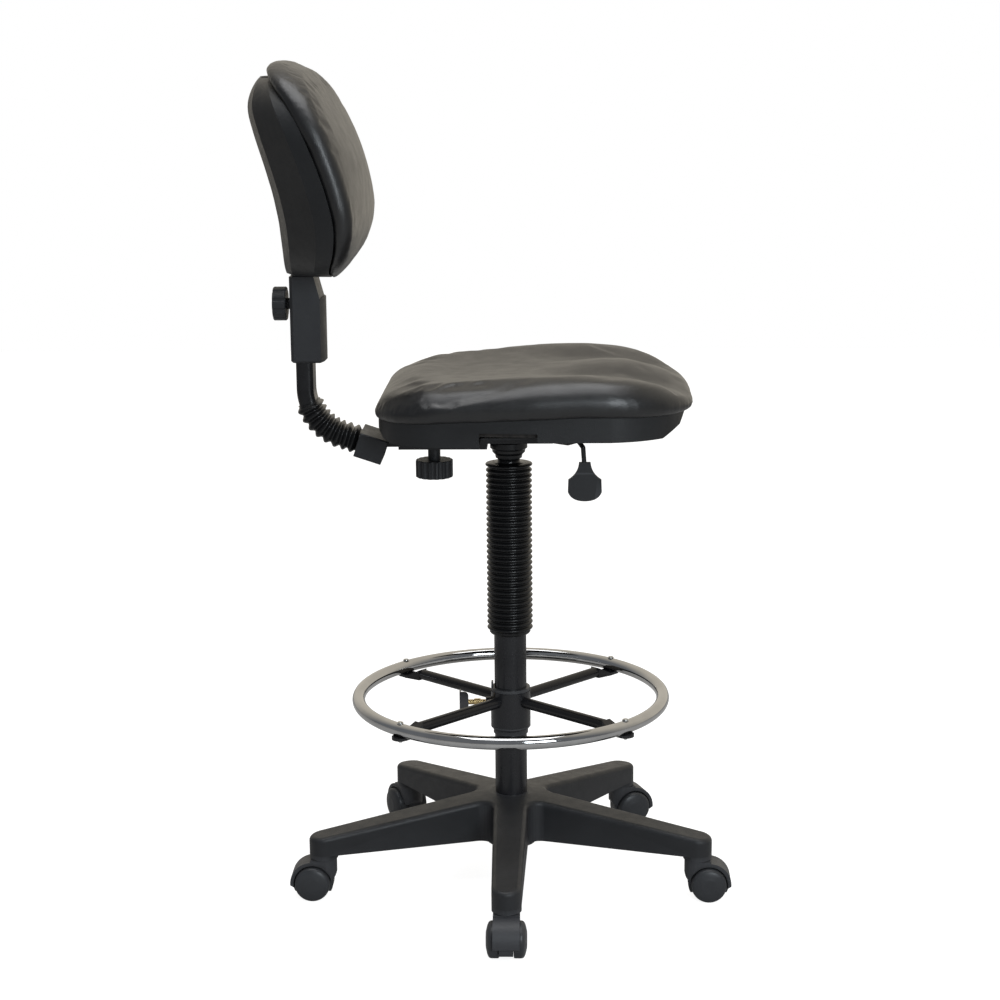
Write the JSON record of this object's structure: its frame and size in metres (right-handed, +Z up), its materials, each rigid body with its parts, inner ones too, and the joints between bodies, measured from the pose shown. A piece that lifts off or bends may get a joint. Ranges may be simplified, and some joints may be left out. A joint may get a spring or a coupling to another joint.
{
  "type": "drafting chair",
  "caption": "Armless drafting chair on a five-star caster base, with a gas-lift column in a bellows, a chromed foot ring and a padded seat and back in black vinyl.",
  "frame": {"origin": "on the floor, on the axis of the gas-lift column", "axes": "+X the way the sitter faces, +Y the sitter's left, +Z up"},
  "size_m": [0.7282, 0.654, 1.27],
  "materials": {
    "moulded_black": "fine matt texture, moulded black",
    "shell_black": "leather-grain texture, black",
    "nylon_black": "smooth black nylon",
    "painted_black": "semi-gloss black enamel",
    "zinc_steel": "zinc plated",
    "chrome_plate": "bright chrome",
    "brass_plate": "yellow passivated",
    "bellows_black": "semi-gloss black",
    "plywood": "bare plywood",
    "vinyl_black": "fine-grained black vinyl"
  },
  "bodies": {
    "base": {"base_star": "moulded_black", "stand_tube": "painted_black", "guide_bush": "nylon_black", "caster_stems": "zinc_steel"},
    "ring_slider": {"ring_bush": "nylon_black"},
    "ring": {"ring_collar": "painted_black", "ring_spokes": "painted_black", "foot_ring": "chrome_plate", "ring_screws": "zinc_steel"},
    "ring_clamp": {"clamp_screw": "brass_plate", "clamp_handle": "zinc_steel"},
    "piston": {"piston_rod": "chrome_plate"},
    "seat": {"gas_cylinder": "painted_black", "column_bellows": "bellows_black", "mech_plate": "painted_black", "mech_socket": "painted_black", "mech_channel": "painted_black", "mech_bolts": "zinc_steel", "lever_hanger": "painted_black", "seat_shell": "shell_black", "seat_board": "plywood", "seat_nuts": "zinc_steel", "seat_cushion": "vinyl_black"},
    "valve": {"valve_button": "zinc_steel"},
    "lever": {"lever_rod": "painted_black", "lever_paddle": "moulded_black"},
    "depth_clamp": {"depth_knob": "moulded_black", "depth_stud": "zinc_steel"},
    "back_carrier": {"j_bar": "painted_black", "tongue": "painted_black", "jbar_cover": "moulded_black", "jbar_boot": "bellows_black"},
    "back": {"back_bracket": "painted_black", "back_sleeve": "moulded_black", "back_shell": "shell_black", "back_board": "plywood", "back_screws": "zinc_steel", "back_cushion": "vinyl_black"},
    "height_clamp": {"height_knob": "moulded_black", "height_stud": "zinc_steel"},
    "caster_1": {"caster_1_hood": "moulded_black", "caster_1_axle": "zinc_steel"},
    "caster_1_left": {"caster_1_wheel_left": "nylon_black"},
    "caster_1_right": {"caster_1_wheel_right": "nylon_black"},
    "caster_2": {"caster_2_hood": "moulded_black", "caster_2_axle": "zinc_steel"},
    "caster_2_left": {"caster_2_wheel_left": "nylon_black"},
    "caster_2_right": {"caster_2_wheel_right": "nylon_black"},
    "caster_3": {"caster_3_hood": "moulded_black", "caster_3_axle": "zinc_steel"},
    "caster_3_left": {"caster_3_wheel_left": "nylon_black"},
    "caster_3_right": {"caster_3_wheel_right": "nylon_black"},
    "caster_4": {"caster_4_hood": "moulded_black", "caster_4_axle": "zinc_steel"},
    "caster_4_left": {"caster_4_wheel_left": "nylon_black"},
    "caster_4_right": {"caster_4_wheel_right": "nylon_black"},
    "caster_5": {"caster_5_hood": "moulded_black", "caster_5_axle": "zinc_steel"},
    "caster_5_left": {"caster_5_wheel_left": "nylon_black"},
    "caster_5_right": {"caster_5_wheel_right": "nylon_black"}
  },
  "joints": [
    {"name": "ring_height", "type": "slide", "parent": "base", "child": "ring_slider", "axis": [0, 0, 1], "range_m": [-0.09, 0.075]},
    {"name": "ring_turn", "type": "hinge", "parent": "ring_slider", "child": "ring", "pos_m": [0, 0, 0.28], "axis": [0, 0, 1], "continuous": true},
    {"name": "ring_clamp_turn", "type": "hinge", "parent": "ring", "child": "ring_clamp", "pos_m": [-0.06, -0.00272, 0.286], "axis": [0.999, 0.0454, 0], "range_deg": [-270, 90]},
    {"name": "seat_swivel", "type": "hinge", "parent": "base", "child": "piston", "pos_m": [0, 0, 0.3], "axis": [0, 0, 1], "continuous": true},
    {"name": "seat_height", "type": "slide", "parent": "piston", "child": "seat", "axis": [0, 0, 1], "range_m": [-0.14, 0.11], "deforming": ["column_bellows"]},
    {"name": "back_depth", "type": "slide", "parent": "seat", "child": "back_carrier", "axis": [1, 0, 0], "range_m": [-0.05, 0]},
    {"name": "back_height", "type": "slide", "parent": "back_carrier", "child": "back", "axis": [0, 0, 1], "range_m": [-0.045, 0.035]},
    {"name": "depth_clamp_turn", "type": "hinge", "parent": "seat", "child": "depth_clamp", "pos_m": [-0.114, 0, 0.66], "axis": [0, 0, 1], "range_deg": [0, 720]},
    {"name": "height_clamp_turn", "type": "hinge", "parent": "back", "child": "height_clamp", "pos_m": [-0.343, 0, 0.912], "axis": [1, 0, 0], "range_deg": [-720, 0]},
    {"name": "lever_lift", "type": "hinge", "parent": "seat", "child": "lever", "pos_m": [0.02988, -0.03365, 0.7114], "axis": [-0.7477, -0.664, 0], "range_deg": [0, 3], "stiffness_Nm_per_rad": 4, "springref_deg": -3.44},
    {"name": "valve_press", "type": "slide", "parent": "seat", "child": "valve", "axis": [0, 0, 1], "range_m": [-0.0024, 0]},
    {"name": "caster_1_swivel", "type": "hinge", "parent": "base", "child": "caster_1", "pos_m": [0, -0.303, 0.05], "axis": [0, 0, 1], "continuous": true},
    {"name": "caster_1_roll_left", "type": "hinge", "parent": "caster_1", "child": "caster_1_left", "pos_m": [0, -0.32, 0.027], "axis": [1, 0, 0], "continuous": true},
    {"name": "caster_1_roll_right", "type": "hinge", "parent": "caster_1", "child": "caster_1_right", "pos_m": [0, -0.32, 0.027], "axis": [1, 0, 0], "continuous": true},
    {"name": "caster_2_swivel", "type": "hinge", "parent": "base", "child": "caster_2", "pos_m": [0.28817, -0.09363, 0.05], "axis": [0, 0, 1], "continuous": true},
    {"name": "caster_2_roll_left", "type": "hinge", "parent": "caster_2", "child": "caster_2_left", "pos_m": [0.30517, -0.09363, 0.027], "axis": [0, 1, 0], "continuous": true},
    {"name": "caster_2_roll_right", "type": "hinge", "parent": "caster_2", "child": "caster_2_right", "pos_m": [0.30517, -0.09363, 0.027], "axis": [0, 1, 0], "continuous": true},
    {"name": "caster_3_swivel", "type": "hinge", "parent": "base", "child": "caster_3", "pos_m": [0.1781, 0.24513, 0.05], "axis": [0, 0, 1], "continuous": true},
    {"name": "caster_3_roll_left", "type": "hinge", "parent": "caster_3", "child": "caster_3_left", "pos_m": [0.19407, 0.25095, 0.027], "axis": [-0.342, 0.9397, 0], "continuous": true},
    {"name": "caster_3_roll_right", "type": "hinge", "parent": "caster_3", "child": "caster_3_right", "pos_m": [0.19407, 0.25095, 0.027], "axis": [-0.342, 0.9397, 0], "continuous": true},
    {"name": "caster_4_swivel", "type": "hinge", "parent": "base", "child": "caster_4", "pos_m": [-0.1781, 0.24513, 0.05], "axis": [0, 0, 1], "continuous": true},
    {"name": "caster_4_roll_left", "type": "hinge", "parent": "caster_4", "child": "caster_4_left", "pos_m": [-0.1866, 0.25986, 0.027], "axis": [-0.866, -0.5, 0], "continuous": true},
    {"name": "caster_4_roll_right", "type": "hinge", "parent": "caster_4", "child": "caster_4_right", "pos_m": [-0.1866, 0.25986, 0.027], "axis": [-0.866, -0.5, 0], "continuous": true},
    {"name": "caster_5_swivel", "type": "hinge", "parent": "base", "child": "caster_5", "pos_m": [-0.28817, -0.09363, 0.05], "axis": [0, 0, 1], "continuous": true},
    {"name": "caster_5_roll_left", "type": "hinge", "parent": "caster_5", "child": "caster_5_left", "pos_m": [-0.30517, -0.09363, 0.027], "axis": [0, -1, 0], "continuous": true},
    {"name": "caster_5_roll_right", "type": "hinge", "parent": "caster_5", "child": "caster_5_right", "pos_m": [-0.30517, -0.09363, 0.027], "axis": [0, -1, 0], "continuous": true}
  ],
  "couplings": [
    {"joint": "valve_press", "follows": "lever_lift", "m_per_rad": -0.045}
  ]
}
